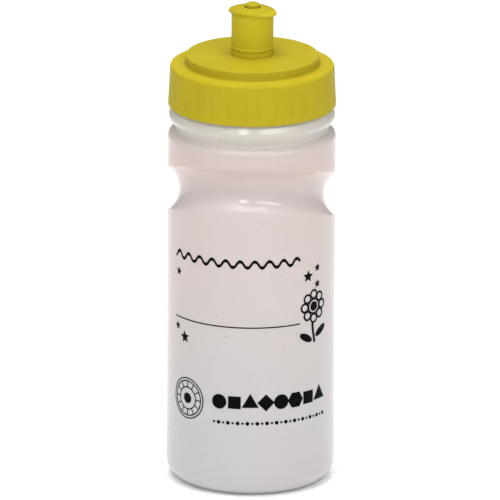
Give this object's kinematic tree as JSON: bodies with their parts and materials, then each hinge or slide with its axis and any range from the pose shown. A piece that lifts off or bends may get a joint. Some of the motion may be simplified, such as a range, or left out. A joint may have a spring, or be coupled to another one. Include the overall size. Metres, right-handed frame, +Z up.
{
  "type": "sports water bottle with push-pull cap",
  "caption": "Cylindrical squeeze bottle with a slanted grip groove, a fluted screw cap and a push-pull drinking spout.",
  "frame": {"origin": "centre of the base, on the surface that the bottle stands on", "axes": "+Z up along the bottle's axis, -Y towards the printed front"},
  "size_m": [0.068, 0.068, 0.199],
  "materials": {
    "frosted_plastic": "frosted natural polyethylene",
    "yellow_plastic": "satin opaque yellow",
    "yellow_mouthpiece": "satin opaque yellow",
    "seal_rubber": "matt white silicone"
  },
  "bodies": {
    "bottle": {"bottle_body": "frosted_plastic"},
    "seal": {"cap_seal_ring": "seal_rubber"},
    "cap": {"screw_cap": "yellow_plastic"},
    "mouthpiece": {"push_pull_mouthpiece": "yellow_mouthpiece"}
  },
  "joints": [
    {"name": "cap_rise", "type": "slide", "parent": "bottle", "child": "seal", "axis": [0, 0, 1], "range_m": [0, 0.01505]},
    {"name": "cap_turn", "type": "hinge", "parent": "seal", "child": "cap", "pos_m": [0, 0, 0.1696], "axis": [0, 0, 1], "range_deg": [0, 1080]},
    {"name": "mouthpiece_pull", "type": "slide", "parent": "cap", "child": "mouthpiece", "axis": [0, 0, 1], "range_m": [0, 0.006]}
  ],
  "couplings": [
    {"joint": "cap_rise", "follows": "cap_turn", "m_per_rad": 0.00079577}
  ]
}
